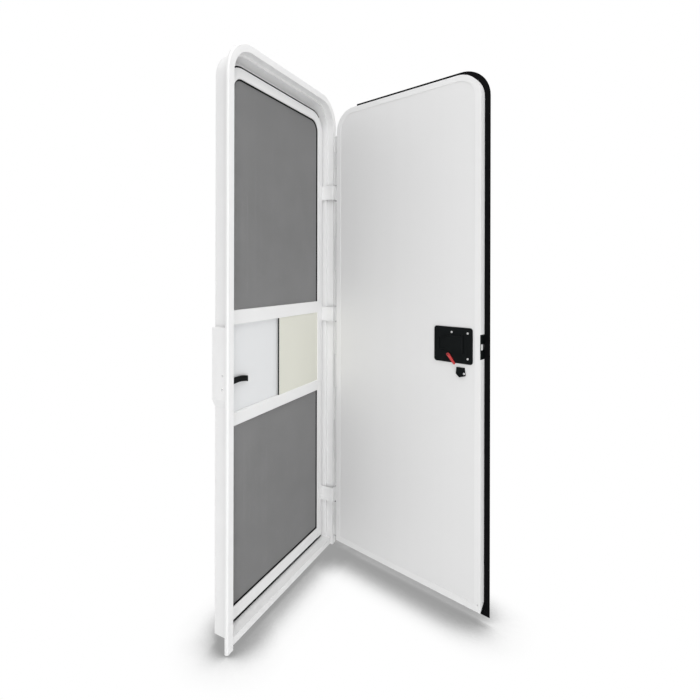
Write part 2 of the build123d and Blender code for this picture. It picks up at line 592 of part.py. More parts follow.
with BuildPart() as key_cylinder:
    with BuildSketch(door_plane(OUT_FACE)):
        with Locations((LOCK_ALONG + LOCK_WIDTH / 4, LOCK_HEIGHT)):
            Circle(KEY_R)
    extrude(amount=-LOCK_T - KEY_PROUD)
    with BuildSketch(door_plane(OUT_FACE - LOCK_T - KEY_PROUD)):
        with Locations((LOCK_ALONG + LOCK_WIDTH / 4, LOCK_HEIGHT)):
            Rectangle(KEY_SLOT, KEY_R)
    extrude(amount=KEY_SLOT_DEPTH, mode=Mode.SUBTRACT)
save(key_cylinder, "key_cylinder")

# Screen surround: two stiles and a top rail in one bent section, cut for the latch
with BuildPart() as screen_surround:
    with BuildSketch(wall_plane(SCREEN_BACK)):
        arched(-SCREEN_HALF, SCREEN_HALF, SCREEN_FOOT, SCREEN_HEAD, SCREEN_R)
        arched(-STILE_EDGE, STILE_EDGE, SCREEN_FOOT, UPPER_MESH_HEAD, MESH_R, Mode.SUBTRACT)
    extrude(amount=SCREEN_T)
    chamfer(screen_surround.faces().sort_by(Axis.Y)[0].edges().filter_by(
        lambda edge: edge.center().Z > SCREEN_FOOT + 1), RAIL_EDGE)
    with BuildSketch(wall_plane(SCREEN_BACK - LATCH_WALL)):
        block(-STILE_EDGE - LATCH_WIDTH, -STILE_EDGE + 1, LATCH_HEIGHT - LATCH_TALL / 2,
              LATCH_HEIGHT + LATCH_TALL / 2)
    extrude(amount=SCREEN_T, mode=Mode.SUBTRACT)
save(screen_surround, "screen_surround")

with BuildPart() as screen_bottom_rail:
    with BuildSketch(wall_plane(SCREEN_BACK)):
        block(-STILE_EDGE, STILE_EDGE, SCREEN_FOOT, LOWER_MESH_FOOT)
    extrude(amount=SCREEN_T)
    chamfer(screen_bottom_rail.faces().sort_by(Axis.Y)[0].edges().filter_by(Axis.X), RAIL_EDGE)
save(screen_bottom_rail, "screen_bottom_rail")

# The two middle rails are grooved where the hatch runs
for rail, foot, tall, groove in (("lower", LOWER_RAIL_FOOT, LOWER_RAIL, PANEL_FOOT),
                                 ("upper", UPPER_RAIL_FOOT, UPPER_RAIL, UPPER_RAIL_FOOT)):
    with BuildPart() as middle_rail:
        with BuildSketch(wall_plane(SCREEN_BACK)):
            block(-STILE_EDGE, STILE_EDGE, foot, foot + tall)
        extrude(amount=SCREEN_T)
        chamfer(middle_rail.faces().sort_by(Axis.Y)[0].edges().filter_by(Axis.X), RAIL_EDGE)
        with BuildSketch(wall_plane(HATCH_FRONT + PANEL_T + RUN_CLEARANCE)):
            block(-STILE_EDGE, STILE_EDGE, groove - GROOVE_DEPTH, groove + GROOVE_DEPTH)
        extrude(amount=PANEL_T + 2 * RUN_CLEARANCE, mode=Mode.SUBTRACT)
    save(middle_rail, f"screen_{rail}_rail")

# Mesh sheets with plain openings, each with a black spline down its sides and across the far end
MESH_FRONT = SCREEN_FRONT + MESH_BACK
with BuildPart() as upper_mesh:
    with BuildSketch(wall_plane(MESH_FRONT + MESH_T)):
        arched(-STILE_EDGE, STILE_EDGE, UPPER_MESH_FOOT, UPPER_MESH_HEAD, MESH_R)
        openings(UPPER_MESH_FOOT, UPPER_MESH_HEAD, MESH_UP["upper"])
    extrude(amount=MESH_T)
save(upper_mesh, "upper_mesh")

with BuildPart() as upper_spline:
    with BuildSketch(wall_plane(MESH_FRONT)):
        arched(-STILE_EDGE, STILE_EDGE, UPPER_MESH_FOOT, UPPER_MESH_HEAD, MESH_R)
        arched(-STILE_EDGE + SPLINE_WIDTH, STILE_EDGE - SPLINE_WIDTH, UPPER_MESH_FOOT,
               UPPER_MESH_HEAD - SPLINE_WIDTH, MESH_R - SPLINE_WIDTH, Mode.SUBTRACT)
    extrude(amount=SPLINE_T)
save(upper_spline, "upper_spline")

with BuildPart() as lower_mesh:
    with BuildSketch(wall_plane(MESH_FRONT + MESH_T)):
        block(-STILE_EDGE, STILE_EDGE, LOWER_MESH_FOOT, LOWER_RAIL_FOOT)
        openings(LOWER_MESH_FOOT, LOWER_RAIL_FOOT, MESH_UP["lower"])
    extrude(amount=MESH_T)
save(lower_mesh, "lower_mesh")

with BuildPart() as lower_spline:
    with BuildSketch(wall_plane(MESH_FRONT)):
        block(-STILE_EDGE, STILE_EDGE, LOWER_MESH_FOOT, LOWER_RAIL_FOOT)
        block(-STILE_EDGE + SPLINE_WIDTH, STILE_EDGE - SPLINE_WIDTH, LOWER_MESH_FOOT + SPLINE_WIDTH,
              LOWER_RAIL_FOOT, Mode.SUBTRACT)
    extrude(amount=SPLINE_T)
save(lower_spline, "lower_spline")

# Centre of the screen: a fixed panel with an edge strip, and a hatch that slides behind it
PANEL_FRONT = SCREEN_FRONT + PANEL_BACK
with BuildPart() as fixed_panel:
    with BuildSketch(wall_plane(PANEL_FRONT + PANEL_T)):
        block(PANEL_SPLIT, STILE_EDGE, PANEL_FOOT, UPPER_RAIL_FOOT)
    extrude(amount=PANEL_T)
save(fixed_panel, "fixed_panel")

with BuildPart() as panel_edge_strip:
    with BuildSketch(wall_plane(PANEL_FRONT + PANEL_T + EDGE_STRIP_LIP)):
        block(PANEL_SPLIT - EDGE_STRIP, PANEL_SPLIT, PANEL_FOOT, UPPER_RAIL_FOOT)
    extrude(amount=PANEL_T + 2 * EDGE_STRIP_LIP)
save(panel_edge_strip, "panel_edge_strip")

with BuildPart() as sliding_hatch:
    with BuildSketch(wall_plane(HATCH_FRONT + PANEL_T)):
        block(-STILE_EDGE + HATCH_GAP, PANEL_SPLIT + HATCH_LAP, PANEL_FOOT - GROOVE_DEPTH + RUN_CLEARANCE,
              UPPER_RAIL_FOOT + GROOVE_DEPTH - RUN_CLEARANCE)
    extrude(amount=PANEL_T)
save(sliding_hatch, "sliding_hatch")

# Screen latch: a body let into the stile, and a curved lever that turns in its slot
LATCH_OUT = -STILE_EDGE - LATCH_WIDTH
LEVER_X = -STILE_EDGE - LEVER_PIVOT_IN
LEVER_FRONT = SCREEN_FRONT + LATCH_WALL + RUN_CLEARANCE
LATCH_FOOT = LATCH_HEIGHT - LATCH_TALL / 2
with BuildPart() as screen_latch_body:
    with BuildSketch(wall_plane(SCREEN_BACK - LATCH_WALL)):
        block(LATCH_OUT, -STILE_EDGE, LATCH_FOOT, LATCH_FOOT + LATCH_TALL)
    extrude(amount=SCREEN_T - LATCH_WALL)
    with BuildSketch(wall_plane(LEVER_FRONT + LEVER_T + RUN_CLEARANCE)):
        block(LEVER_X - LEVER_WIDTH / 2 - 1, -STILE_EDGE + 1, LATCH_FOOT + LATCH_SLOT_MARGIN,
              LATCH_FOOT + LATCH_TALL - LATCH_SLOT_MARGIN)
    extrude(amount=LEVER_T + 2 * RUN_CLEARANCE, mode=Mode.SUBTRACT)
    with BuildSketch(wall_plane(LEVER_FRONT + LEVER_T + 1)):
        with Locations((LEVER_X, LATCH_HEIGHT)):
            Circle(LEVER_PIN_R)
    extrude(amount=LEVER_T + 2)
save(screen_latch_body, "screen_latch_body")

with BuildPart() as screen_latch_lever:
    tip = LEVER_X + LEVER_REACH
    bend = LEVER_X + LEVER_REACH * LEVER_BEND_SHARE
    half = LEVER_WIDTH / 2
    with BuildSketch(wall_plane(LEVER_FRONT + LEVER_T)):
        with BuildLine():
            ThreePointArc((LEVER_X, LATCH_HEIGHT + half),
                          (bend, LATCH_HEIGHT + LEVER_RISE + half),
                          (tip, LATCH_HEIGHT - LEVER_TIP_DROP + half))
            Line((tip, LATCH_HEIGHT - LEVER_TIP_DROP + half), (tip, LATCH_HEIGHT - LEVER_TIP_DROP - half))
            ThreePointArc((tip, LATCH_HEIGHT - LEVER_TIP_DROP - half),
                          (bend, LATCH_HEIGHT + LEVER_RISE - half),
                          (LEVER_X, LATCH_HEIGHT - half))
            CenterArc((LEVER_X, LATCH_HEIGHT), half, 90, 180)
        make_face()
        with Locations((LEVER_X, LATCH_HEIGHT)):
            Circle(LEVER_PIN_R + RUN_CLEARANCE, mode=Mode.SUBTRACT)
    extrude(amount=LEVER_T)
save(screen_latch_lever, "screen_latch_lever")

# Screen hinge straps: padded on the stile's edge, led out beside the jamb, and bent to the main pin
STRAP_OUT = OPENING_HALF - STRAP_JAMB_GAP
STRAP_BACK = SCREEN_BACK - STRAP_PAD_MARGIN
ARM_BACK = -FLANGE_T - STRAP_FLANGE_GAP
ARM_FRONT = ARM_BACK - STRAP_T
for place, foot in zip(STRAPS, STRAP_FEET):
    with BuildPart() as strap:
        with BuildSketch(Plane.XY.offset(foot)) as strap_section:
            block(STRAP_OUT - STRAP_T, STRAP_OUT, ARM_FRONT, STRAP_BACK)
            block(STRAP_OUT - STRAP_T, AXIS_X - PIN_R - STRAP_T, ARM_FRONT, ARM_BACK)
            corner = strap_section.vertices().sort_by_distance((STRAP_OUT - STRAP_T, ARM_FRONT, foot))[0]
            fillet(corner, STRAP_BEND)
            block(SCREEN_HALF, STRAP_OUT - STRAP_T, SCREEN_FRONT + STRAP_PAD_MARGIN, STRAP_BACK)
            with Locations((AXIS_X, AXIS_Y)):
                Circle(KNUCKLE_R)
                Circle(PIN_R + PIN_CLEARANCE, mode=Mode.SUBTRACT)
        extrude(amount=STRAP_TALL)
    save(strap, f"screen_hinge_{place}_strap")
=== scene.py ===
"""Looks of a caravan entry door: a white frame, a mesh screen door closed in it and an open main door."""

import json
import logging
import math
from dataclasses import dataclass, field
from enum import Enum

import bmesh
import bpy
import numpy as np
from mathutils import Matrix, Vector


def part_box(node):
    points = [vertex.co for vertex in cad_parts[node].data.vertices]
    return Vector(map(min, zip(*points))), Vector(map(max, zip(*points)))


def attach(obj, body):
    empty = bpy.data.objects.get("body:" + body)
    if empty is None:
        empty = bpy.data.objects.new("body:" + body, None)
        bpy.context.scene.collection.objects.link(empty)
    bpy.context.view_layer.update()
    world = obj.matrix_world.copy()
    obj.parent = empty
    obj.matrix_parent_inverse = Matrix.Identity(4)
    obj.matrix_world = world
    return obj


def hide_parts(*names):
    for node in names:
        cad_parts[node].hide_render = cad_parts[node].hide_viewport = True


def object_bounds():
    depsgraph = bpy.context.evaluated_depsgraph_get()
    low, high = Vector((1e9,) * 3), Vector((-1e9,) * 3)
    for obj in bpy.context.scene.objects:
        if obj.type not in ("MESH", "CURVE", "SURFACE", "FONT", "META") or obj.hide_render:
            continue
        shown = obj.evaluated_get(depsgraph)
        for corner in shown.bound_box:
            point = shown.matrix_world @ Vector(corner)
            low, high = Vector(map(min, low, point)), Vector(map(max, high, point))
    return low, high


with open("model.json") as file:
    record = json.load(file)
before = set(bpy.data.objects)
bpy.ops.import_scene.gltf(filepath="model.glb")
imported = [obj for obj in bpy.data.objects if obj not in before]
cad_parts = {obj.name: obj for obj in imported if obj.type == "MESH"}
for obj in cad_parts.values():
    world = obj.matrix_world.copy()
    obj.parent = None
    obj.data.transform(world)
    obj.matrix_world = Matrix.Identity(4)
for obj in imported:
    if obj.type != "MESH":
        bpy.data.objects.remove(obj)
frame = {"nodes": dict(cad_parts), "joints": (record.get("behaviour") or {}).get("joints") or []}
CAD_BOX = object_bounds()
MM = 0.001
log = logging.getLogger("caravan_door")

# Three numbers as a colour, three along the axes, and a shape's points with four point numbers per face
Colour = tuple[float, float, float]
Triple = tuple[float, float, float]
Shape = tuple[np.ndarray, np.ndarray]
UP = np.array((0.0, 0.0, 1.0))
SIDEWAYS = np.array((1.0, 0.0, 0.0))
INDOORS = np.array((0.0, 1.0, 0.0))


class Body(Enum):
    """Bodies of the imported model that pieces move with."""

    FRAME = "frame"
    MAIN_DOOR = "main_door"
    SCREEN_DOOR = "screen_door"


class Slot(Enum):
    """Material slots of the record, one named with each new piece."""

    RUBBER = "black_rubber"
    BLACK = "black_plastic"
    ZINC = "zinc_bolt"
    MESH = "mesh"


# Shared shader effects


class Effects:
    """Shader effects that several finishes share, each built once as a node group.

    Attributes:
        NOISE_SPAN: Values of the noise at which a tone is 0 and 1.
        GRAIN_DETAIL: Detail of the fine grain.
        CLOUD_DETAIL: Detail of the clouds.
        LINE_DETAIL: Detail of the drawn lines.
        BAND_DETAIL: Detail of the bands.
        DUST_CELLS: Specks of dust per metre.
        DUST_SLOPE: Upward part of the normal from which dust settles.
    """

    NOISE_SPAN = (0.3, 0.7)
    GRAIN_DETAIL = 2.0
    CLOUD_DETAIL = 3.0
    LINE_DETAIL = 2.0
    BAND_DETAIL = 1.0
    DUST_CELLS = 160.0
    DUST_SLOPE = 0.5

    def __init__(self) -> None:
        """Build every group."""
        self.grain = self._grain()
        self.lines = self._lines()
        self.bands = self._bands()
        self.dust = self._dust()

    @staticmethod
    def _start(name: str, inputs: dict[str, str], outputs: dict[str, str]
               ) -> tuple[bpy.types.NodeTree, bpy.types.Node, bpy.types.Node]:
        """Begin a group with named sockets.

        Args:
            name: Name of the group.
            inputs: Socket type of each named input.
            outputs: Socket type of each named output.

        Returns:
            The group tree, its input node and its output node.
        """
        tree = bpy.data.node_groups.new(name, "ShaderNodeTree")
        for label, kind in inputs.items():
            tree.interface.new_socket(label, in_out="INPUT", socket_type=kind)
        for label, kind in outputs.items():
            tree.interface.new_socket(label, in_out="OUTPUT", socket_type=kind)
        return tree, tree.nodes.new("NodeGroupInput"), tree.nodes.new("NodeGroupOutput")

    def _grain(self) -> bpy.types.NodeTree:
        """Fine orange peel or moulded grain as a height, and slow cloudy changes as a tone from 0 to 1.

        Returns:
            The node group.
        """
        tree, start, end = self._start(
            "surface_grain",
            {"Vector": "NodeSocketVector", "Cells": "NodeSocketFloat", "Clouds": "NodeSocketFloat"},
            {"Height": "NodeSocketFloat", "Tone": "NodeSocketFloat"})
        layers = (("Height", "Cells", self.GRAIN_DETAIL), ("Tone", "Clouds", self.CLOUD_DETAIL))
        for socket, cells, detail in layers:
            noise = tree.nodes.new("ShaderNodeTexNoise")
            noise.inputs["Detail"].default_value = detail
            spread = tree.nodes.new("ShaderNodeMapRange")
            spread.inputs["From Min"].default_value = self.NOISE_SPAN[0]
            spread.inputs["From Max"].default_value = self.NOISE_SPAN[1]
            tree.links.new(start.outputs["Vector"], noise.inputs["Vector"])
            tree.links.new(start.outputs[cells], noise.inputs["Scale"])
            tree.links.new(noise.outputs["Fac"], spread.inputs["Value"])
            tree.links.new(spread.outputs["Result"], end.inputs[socket])
        return tree

    def _lines(self) -> bpy.types.NodeTree:
        """Fine lines left by drawing or rolling: noise on coordinates squeezed along one direction.

        Returns:
            The node group.
        """
        tree, start, end = self._start(
            "drawn_lines",
            {"Vector": "NodeSocketVector", "Squeeze": "NodeSocketVector", "Cells": "NodeSocketFloat"},
            {"Tone": "NodeSocketFloat"})
        squeeze = tree.nodes.new("ShaderNodeVectorMath")
        squeeze.operation = "MULTIPLY"
        noise = tree.nodes.new("ShaderNodeTexNoise")
        noise.inputs["Detail"].default_value = self.LINE_DETAIL
        tree.links.new(start.outputs["Vector"], squeeze.inputs[0])
        tree.links.new(start.outputs["Squeeze"], squeeze.inputs[1])
        tree.links.new(squeeze.outputs["Vector"], noise.inputs["Vector"])
        tree.links.new(start.outputs["Cells"], noise.inputs["Scale"])
        tree.links.new(noise.outputs["Fac"], end.inputs["Tone"])
        return tree

    def _bands(self) -> bpy.types.NodeTree:
        """Faint upright bands of a bonded sheet: noise on the distance along one direction alone.

        Returns:
            The node group.
        """
        tree, start, end = self._start(
            "sheet_bands",
            {"Vector": "NodeSocketVector", "Along": "NodeSocketVector", "Cells": "NodeSocketFloat"},
            {"Tone": "NodeSocketFloat"})
        distance = tree.nodes.new("ShaderNodeVectorMath")
        distance.operation = "DOT_PRODUCT"
        noise = tree.nodes.new("ShaderNodeTexNoise")
        noise.noise_dimensions = "1D"
        noise.inputs["Detail"].default_value = self.BAND_DETAIL
        tree.links.new(start.outputs["Vector"], distance.inputs[0])
        tree.links.new(start.outputs["Along"], distance.inputs[1])
        tree.links.new(distance.outputs["Value"], noise.inputs["W"])
        tree.links.new(start.outputs["Cells"], noise.inputs["Scale"])
        tree.links.new(noise.outputs["Fac"], end.inputs["Tone"])
        return tree

    def _dust(self) -> bpy.types.NodeTree:
        """Dust that settles on what faces up: the upward part of the normal, broken up by noise.

        Returns:
            The node group.
        """
        tree, start, end = self._start(
            "settled_dust", {"Vector": "NodeSocketVector", "Amount": "NodeSocketFloat"},
            {"Mask": "NodeSocketFloat"})
        geometry = tree.nodes.new("ShaderNodeNewGeometry")
        parts = tree.nodes.new("ShaderNodeSeparateXYZ")
        noise = tree.nodes.new("ShaderNodeTexNoise")
        noise.inputs["Scale"].default_value = self.DUST_CELLS
        facing = tree.nodes.new("ShaderNodeMapRange")
        facing.inputs["From Min"].default_value = self.DUST_SLOPE
        broken, scaled = (tree.nodes.new("ShaderNodeMath") for _ in range(2))
        broken.operation = scaled.operation = "MULTIPLY"
        tree.links.new(geometry.outputs["Normal"], parts.inputs["Vector"])
        tree.links.new(parts.outputs["Z"], facing.inputs["Value"])
        tree.links.new(start.outputs["Vector"], noise.inputs["Vector"])
        tree.links.new(facing.outputs["Result"], broken.inputs[0])
        tree.links.new(noise.outputs["Fac"], broken.inputs[1])
        tree.links.new(broken.outputs["Value"], scaled.inputs[0])
        tree.links.new(start.outputs["Amount"], scaled.inputs[1])
        tree.links.new(scaled.outputs["Value"], end.inputs["Mask"])
        return tree


# Finishes

# Share of a colour that is left where its tone is deepest
DEEPEST = 0.5
DUST_COLOUR: Colour = (0.55, 0.53, 0.5)


@dataclass(frozen=True)
class Finish:
    """A painted, moulded or plated surface with grain, cloudy tone and a little dust.

    Attributes:
        name: Name of the material.
        colour: Base colour, linear.
        roughness: Middle roughness.
        metallic: Metal share of the shader.
        specular: Strength of its plain reflection.
        coat: Weight of a clear gloss layer.
        cells: Grain cells per metre.
        clouds: Tone clouds per metre.
        relief: Height of the grain in metres.
        mottle: Share by which the tone darkens the colour.
        smudge: Change of roughness with the tone.
        dust: Greatest share of dust.
    """

    name: str
    colour: Colour
    roughness: float
    metallic: float = 0.0
    specular: float = 0.5
    coat: float = 0.0
    cells: float = 900.0
    clouds: float = 9.0
    relief: float = 0.00002
    mottle: float = 0.03
    smudge: float = 0.05
    dust: float = 0.0

    def tone(self, tree: bpy.types.NodeTree, place: bpy.types.NodeSocket, effects: Effects,
             clouds: bpy.types.NodeSocket) -> bpy.types.NodeSocket:
        """Give the socket whose value from 0 to 1 darkens the colour."""
        return clouds

    def build(self, effects: Effects) -> bpy.types.Material:
        """Make the material.

        Args:
            effects: The shared effect groups.

        Returns:
            The finished material.
        """
        material = bpy.data.materials.new(self.name)
        material.use_nodes = True
        tree = material.node_tree
        shader = tree.nodes["Principled BSDF"]
        shader.inputs["Metallic"].default_value = self.metallic
        shader.inputs["Specular IOR Level"].default_value = self.specular
        shader.inputs["Coat Weight"].default_value = self.coat
        place = tree.nodes.new("ShaderNodeTexCoord").outputs["Object"]
        grain = self.effect(tree, effects.grain, Vector=place, Cells=self.cells, Clouds=self.clouds)
        tone = self.tone(tree, place, effects, grain.outputs["Tone"])
        share = tree.nodes.new("ShaderNodeMapRange")
        share.inputs["To Max"].default_value = self.mottle
        tree.links.new(tone, share.inputs["Value"])
        colour = self.mix(tree, share.outputs["Result"], self.colour, tuple(DEEPEST * c for c in self.colour))
        if self.dust:
            dust = self.effect(tree, effects.dust, Vector=place, Amount=self.dust)
            colour = self.mix(tree, dust.outputs["Mask"], colour, DUST_COLOUR)
        tree.links.new(colour, shader.inputs["Base Color"])
        gloss = tree.nodes.new("ShaderNodeMapRange")
        gloss.inputs["To Min"].default_value = self.roughness - self.smudge
        gloss.inputs["To Max"].default_value = self.roughness + self.smudge
        tree.links.new(grain.outputs["Tone"], gloss.inputs["Value"])
        tree.links.new(gloss.outputs["Result"], shader.inputs["Roughness"])
        bump = tree.nodes.new("ShaderNodeBump")
        bump.inputs["Distance"].default_value = self.relief
        tree.links.new(grain.outputs["Height"], bump.inputs["Height"])
        tree.links.new(bump.outputs["Normal"], shader.inputs["Normal"])
        return material

    @staticmethod
    def effect(tree: bpy.types.NodeTree, group: bpy.types.NodeTree, **values) -> bpy.types.Node:
        """Place an effect group in a material.

        Args:
            tree: Node tree of the material.
            group: The effect's node group.
            values: A socket to link or a constant to set, by input name.

        Returns:
            The group node.
        """
        node = tree.nodes.new("ShaderNodeGroup")
        node.node_tree = group
        for label, value in values.items():
            if isinstance(value, bpy.types.NodeSocket):
                tree.links.new(value, node.inputs[label])
            else:
                node.inputs[label].default_value = value
        return node

    @staticmethod
    def mix(tree: bpy.types.NodeTree, share: bpy.types.NodeSocket, first: bpy.types.NodeSocket | Colour,
            second: Colour) -> bpy.types.NodeSocket:
        """Mix two colours by a varying share.

        Args:
            tree: Node tree of the material.
            share: Socket with the share of the second colour.
            first: First colour, or a socket that gives it.
            second: Second colour.

        Returns:
            The socket with the mixed colour.
        """
        node = tree.nodes.new("ShaderNodeMix")
        node.data_type = "RGBA"
        tree.links.new(share, node.inputs["Factor"])
        if isinstance(first, bpy.types.NodeSocket):
            tree.links.new(first, node.inputs["A"])
        else:
            node.inputs["A"].default_value = (*first, 1.0)
        node.inputs["B"].default_value = (*second, 1.0)
        return next(out for out in node.outputs if out.type == "RGBA")


@dataclass(frozen=True)
class DrawnFinish(Finish):
    """A finish with fine lines along one direction.

    Attributes:
        squeeze: Share by which coordinates are squeezed along each direction.
        lines: Lines per metre across.
    """

    squeeze: Triple = (1.0, 1.0, 0.01)
    lines: float = 700.0

    def tone(self, tree: bpy.types.NodeTree, place: bpy.types.NodeSocket, effects: Effects,
             clouds: bpy.types.NodeSocket) -> bpy.types.NodeSocket:
        """Give the tone of the drawn lines."""
        drawn = self.effect(tree, effects.lines, Vector=place, Squeeze=self.squeeze, Cells=self.lines)
        return drawn.outputs["Tone"]


@dataclass(frozen=True)
class SheetFinish(Finish):
    """A coated sheet with faint upright bands.

    Attributes:
        along: Direction across the bands.
        bands: Bands per metre.
    """

    along: Triple = (1.0, 0.0, 0.0)
    bands: float = 16.0

    def tone(self, tree: bpy.types.NodeTree, place: bpy.types.NodeSocket, effects: Effects,
             clouds: bpy.types.NodeSocket) -> bpy.types.NodeSocket:
        """Give the tone of the bands."""
        banded = self.effect(tree, effects.bands, Vector=place, Along=self.along, Cells=self.bands)
        return banded.outputs["Tone"]


class Paint(Enum):
    """Every finish on the door."""

    COAT = Finish("white_powder_coat", (0.83, 0.83, 0.83), 0.5, specular=0.35, cells=1400.0, dust=0.05)
    SKIN = SheetFinish("white_coil_coat", (0.79, 0.79, 0.79), 0.36, cells=1800.0, mottle=0.05,
                       along=(0.225, 0.974, 0.0))
    FOAM = Finish("foam_core", (0.80, 0.77, 0.66), 0.9, cells=500.0, relief=0.0003)
    RUBBER = DrawnFinish("black_rubber", (0.0035, 0.0035, 0.004), 0.6, specular=0.05, cells=1500.0,
                         mottle=0.4)
    BLACK = Finish("black_moulding", (0.0035, 0.0048, 0.0052), 0.45, specular=0.09, cells=1100.0,
                   relief=0.00006, mottle=0.3, dust=0.04)
    RED = Finish("red_moulding", (0.52, 0.035, 0.035), 0.3, coat=0.3, mottle=0.2)
    ZINC = DrawnFinish("zinc_plate", (0.72, 0.72, 0.72), 0.3, metallic=1.0, mottle=0.3)
    STEEL = DrawnFinish("drawn_steel", (0.58, 0.58, 0.58), 0.28, metallic=1.0, mottle=0.3)
    WIRE = Finish("grey_coated_wire", (0.232, 0.232, 0.233), 0.6, specular=0.2, mottle=0.1)
    CREAM = Finish("cream_sheet", (0.72, 0.72, 0.64), 0.34, mottle=0.012, smudge=0.015)
    WHITE = Finish("white_sheet", (0.76, 0.77, 0.78), 0.34, mottle=0.012, smudge=0.015)
    CHROME = Finish("polished_cylinder", (0.8, 0.8, 0.8), 0.12, metallic=1.0, smudge=0.03)


class Paints:
    """The materials of all finishes, and how they reach CAD nodes."""

    def __init__(self, effects: Effects) -> None:
        """Build each finish's material."""
        self.materials = {paint: paint.value.build(effects) for paint in Paint}

    def __getitem__(self, paint: Paint) -> bpy.types.Material:
        """Give one finish's material."""
        return self.materials[paint]

    def dress(self, paint: Paint, *nodes: str) -> None:
        """Put a finish on CAD nodes.

        Args:
            paint: The finish.
            nodes: Names of the nodes.
        """
        for node in nodes:
            for place in frame["nodes"][node].material_slots:
                place.material = self.materials[paint]
            log.info("dressed %s in %s", node, paint.value.name)


# Shapes worked out as whole arrays

# Distance within which the points of a seam or pole become one
SEAM = 1e-7
# Angle over which an edge stays sharp
CREASE = math.radians(35)
# Power that squares off a plate's outline
PLATE_POWER = 0.3
# A plate's soft edge at most, as a share of its smaller side
PLATE_EDGE = 0.1
# Turn from one screw to the next, in radians
SCREW_TURN = 0.7


@dataclass(frozen=True)
class Seat:
    """A place on the object, with directions along it, up it and out of it.

    Attributes:
        origin: Point in metres.
        along: Unit direction.
        up: Unit direction.
        out: Unit direction out of the surface.
    """

    origin: np.ndarray
    along: np.ndarray
    up: np.ndarray
    out: np.ndarray

    def put(self, local: np.ndarray) -> np.ndarray:
        """Carry points given as distances along, up and out into the object's frame."""
        return self.origin + local @ np.stack((self.along, self.up, self.out))

    def at(self, along: float, up: float, out: float) -> "Seat":
        """Give a seat moved by distances along, up and out."""
        return Seat(self.put(np.array((along, up, out))), self.along, self.up, self.out)


def node_points(node: str) -> np.ndarray:
    """Give a CAD node's vertices.

    Args:
        node: Name of the node.

    Returns:
        Points by vertex and axis, in metres.
    """
    mesh = frame["nodes"][node].data
    flat = np.zeros(len(mesh.vertices) * 3, np.float32)
    mesh.vertices.foreach_get("co", flat)
    return flat.reshape(-1, 3).astype(float)


def reach(node: str, direction: np.ndarray, origin: np.ndarray) -> tuple[float, float]:
    """Give a node's least and greatest distance from an origin in a direction."""
    distances = (node_points(node) - origin) @ direction
    return float(distances.min()), float(distances.max())


def grid_quads(rows: int, columns: int) -> np.ndarray:
    """Give the quads of a grid that is closed across its columns.

    Args:
        rows: Number of rings.
        columns: Number of points in a ring.

    Returns:
        Four point numbers per face.
    """
    row, column = np.meshgrid(np.arange(rows - 1), np.arange(columns), indexing="ij")
    nearby = (column + 1) % columns
    corners = (row * columns + column, row * columns + nearby,
               (row + 1) * columns + nearby, (row + 1) * columns + column)
    return np.stack(corners, -1).reshape(-1, 4)


def loft(rows: np.ndarray) -> Shape:
    """Join rings of points into a closed skin.

    Each ring is joined to the next one, and the first and last are drawn together to their middles.

    Args:
        rows: Points by ring, place in the ring and axis.

    Returns:
        Points and quads.
    """
    ends = [np.broadcast_to(ring.mean(0), ring.shape)[None] for ring in (rows[0], rows[-1])]
    closed = np.concatenate((ends[0], rows, ends[1]))
    return closed.reshape(-1, 3), grid_quads(len(closed), closed.shape[1])


def pad(width: float, height: float, thick: float, points: int = 48) -> Shape:
    """Work out a flat plate with round corners and a soft edge.

    Its outline is a superellipse: half a side times the sine or cosine raised to a small power. Rings of
    it rise from the seat and step in at the top.

    Args:
        width: Size along its seat.
        height: Size up its seat.
        thick: Size out of its seat.
        points: Points round the outline.

    Returns:
        Points as distances along, up and out, and quads.
    """
    angle = np.linspace(0.0, 2 * np.pi, points, endpoint=False)
    wave = np.stack((np.cos(angle), np.sin(angle)), -1)
    outline = np.sign(wave) * np.abs(wave)**PLATE_POWER * np.array((width, height)) / 2
    edge = min(thick, PLATE_EDGE * min(width, height)) / 2
    inset, rise = np.array((0.0, 0.0, 1.0)), np.array((0.0, thick - edge, thick))
    flat = outline[None] - np.sign(outline)[None] * (inset * edge)[:, None, None]
    return loft(np.concatenate((flat, np.broadcast_to(rise[:, None, None], (*flat.shape[:2], 1))), -1))


def carried(path: np.ndarray, tall: float, deep: float, points: int = 16) -> Shape:
    """Carry an ellipse along a path in the plane of the wall.

    A point is the path's point plus the cosine of an angle times the half height across the path, plus the
    sine times the half depth.

    Args:
        path: Points of the path.
        tall: Half height of the ellipse.
        deep: Half depth of the ellipse.
        points: Points round the ellipse.

    Returns:
        Points and quads.
    """
    across = np.cross(np.gradient(path, axis=0), INDOORS)
    across /= np.linalg.norm(across, axis=1, keepdims=True)
    angle = np.linspace(0.0, 2 * np.pi, points, endpoint=False)[None, :, None]
    return loft(path[:, None] + np.cos(angle) * tall * across[:, None] + np.sin(angle) * deep * INDOORS)


def joined(shapes: list[Shape]) -> Shape:
    """Put several shapes into one.

    Args:
        shapes: Points and quads of each shape.

    Returns:
        All points, and all quads with their point numbers moved on.
    """
    firsts = np.cumsum([0] + [len(points) for points, _ in shapes[:-1]])
    return (np.concatenate([points for points, _ in shapes]),
            np.concatenate([quads + first for (_, quads), first in zip(shapes, firsts)]))


